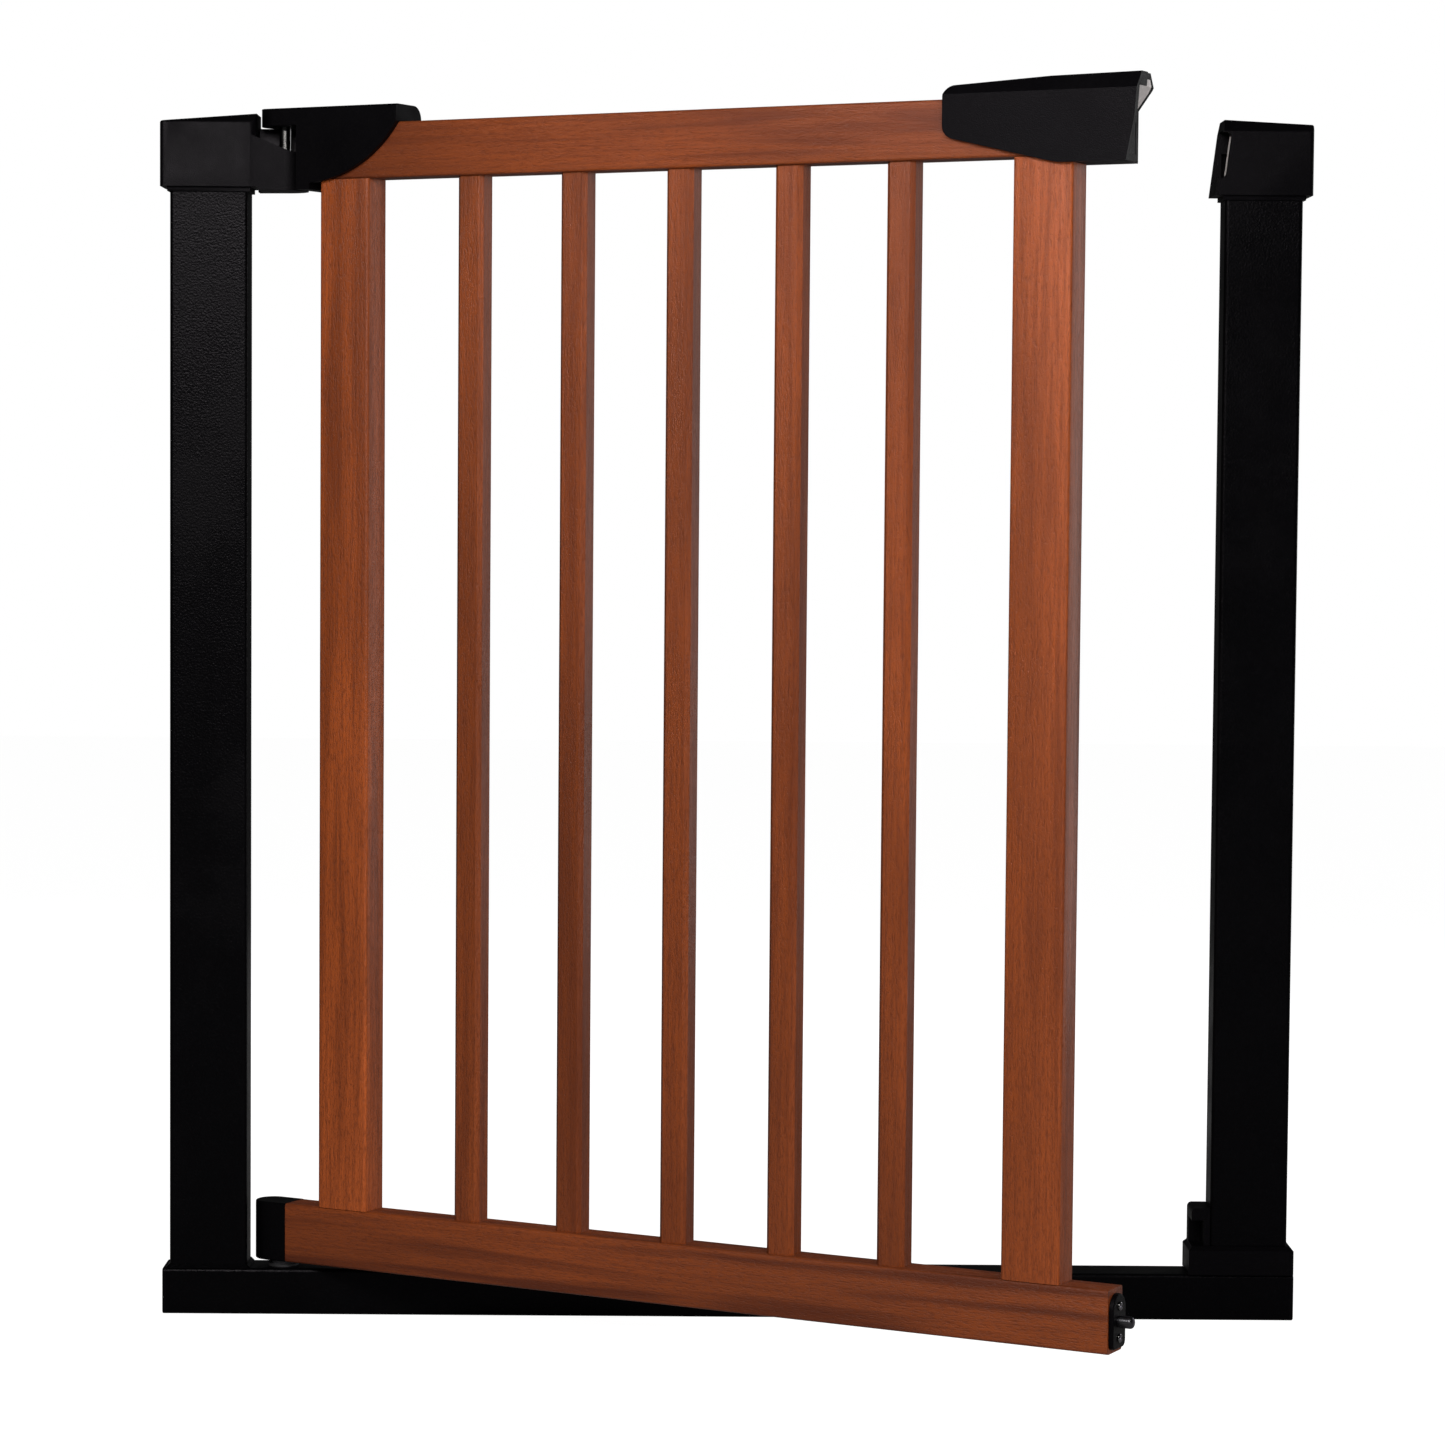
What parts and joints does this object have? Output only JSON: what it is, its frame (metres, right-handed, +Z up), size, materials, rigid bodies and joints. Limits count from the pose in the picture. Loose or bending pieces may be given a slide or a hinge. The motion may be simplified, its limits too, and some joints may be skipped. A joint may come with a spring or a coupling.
{
  "type": "safety gate",
  "caption": "Pressure-fit doorway safety gate: black steel U-frame and a barred wooden door that swings, lifts and latches with a sliding thumb bolt, standing ajar.",
  "frame": {"origin": "on the floor under the middle of the base bar, midway between the two posts", "axes": "+X along the base bar from the hinge post to the latch post, -Y to the front, where the door stands ajar, +Z up"},
  "size_m": [0.7374, 0.3111, 0.778],
  "materials": {
    "stained_wood": "reddish-brown stain under satin lacquer",
    "plain_wood": "unfinished beech",
    "black_powder_coat": "fine-textured black powder coat",
    "black_plastic": "satin moulded black plastic",
    "pale_plastic": "pale grey moulded plastic",
    "nylon": "natural nylon",
    "zinc_steel": "bright zinc-plated steel",
    "dark_steel": "blackened steel"
  },
  "bodies": {
    "frame": {"base_bar": "black_powder_coat", "base_end_plugs": "black_plastic", "base_spindle_inserts": "zinc_steel", "cap_spindle_inserts": "zinc_steel", "hinge_post": "black_powder_coat", "latch_post": "black_powder_coat", "hinge_post_weld": "black_powder_coat", "hinge_post_cap": "black_plastic", "hinge_arm": "black_plastic", "latch_post_cap": "black_plastic", "latch_cap_end": "black_plastic", "strike_liner": "pale_plastic", "cap_screws": "zinc_steel", "lower_catch": "black_plastic", "pivot_bush": "nylon"},
    "hinge_pins": {"top_hinge_pin": "zinc_steel", "lower_pivot_pin": "zinc_steel", "thrust_washer": "nylon"},
    "door": {"hinge_housing_front": "black_plastic", "hinge_housing_rear": "black_plastic", "handle_front": "black_plastic", "handle_rear": "black_plastic", "bottom_end_cap": "black_plastic", "lower_end_plate": "black_plastic", "bolt_guide": "black_plastic", "bolt_plate": "black_plastic", "latch_face": "pale_plastic", "hinge_housing_screws": "zinc_steel", "handle_screws": "zinc_steel", "end_cap_screw": "zinc_steel", "end_plate_screws": "zinc_steel", "latch_spring": "zinc_steel", "lower_stub_pin": "dark_steel", "top_rail": "stained_wood", "bottom_rail": "stained_wood", "hinge_stile": "stained_wood", "latch_stile": "stained_wood", "bar_dowels": "plain_wood", "stile_dowels": "plain_wood", "bar_1": "stained_wood", "bar_2": "stained_wood", "bar_3": "stained_wood", "bar_4": "stained_wood", "bar_5": "stained_wood"},
    "latch": {"latch_bolt": "zinc_steel", "thumb_slider": "black_plastic"}
  },
  "joints": [
    {"name": "door_swing", "type": "hinge", "parent": "frame", "child": "hinge_pins", "pos_m": [-0.29, 0, 0.4], "axis": [0, 0, 1], "range_deg": [-61.8, 28.2]},
    {"name": "door_lift", "type": "slide", "parent": "hinge_pins", "child": "door", "axis": [0, 0, 1], "range_m": [0, 0.008]},
    {"name": "latch_slide", "type": "slide", "parent": "door", "child": "latch", "axis": [0.8813, -0.4726, 0], "range_m": [0, 0.02], "deforming": ["latch_spring"]}
  ]
}
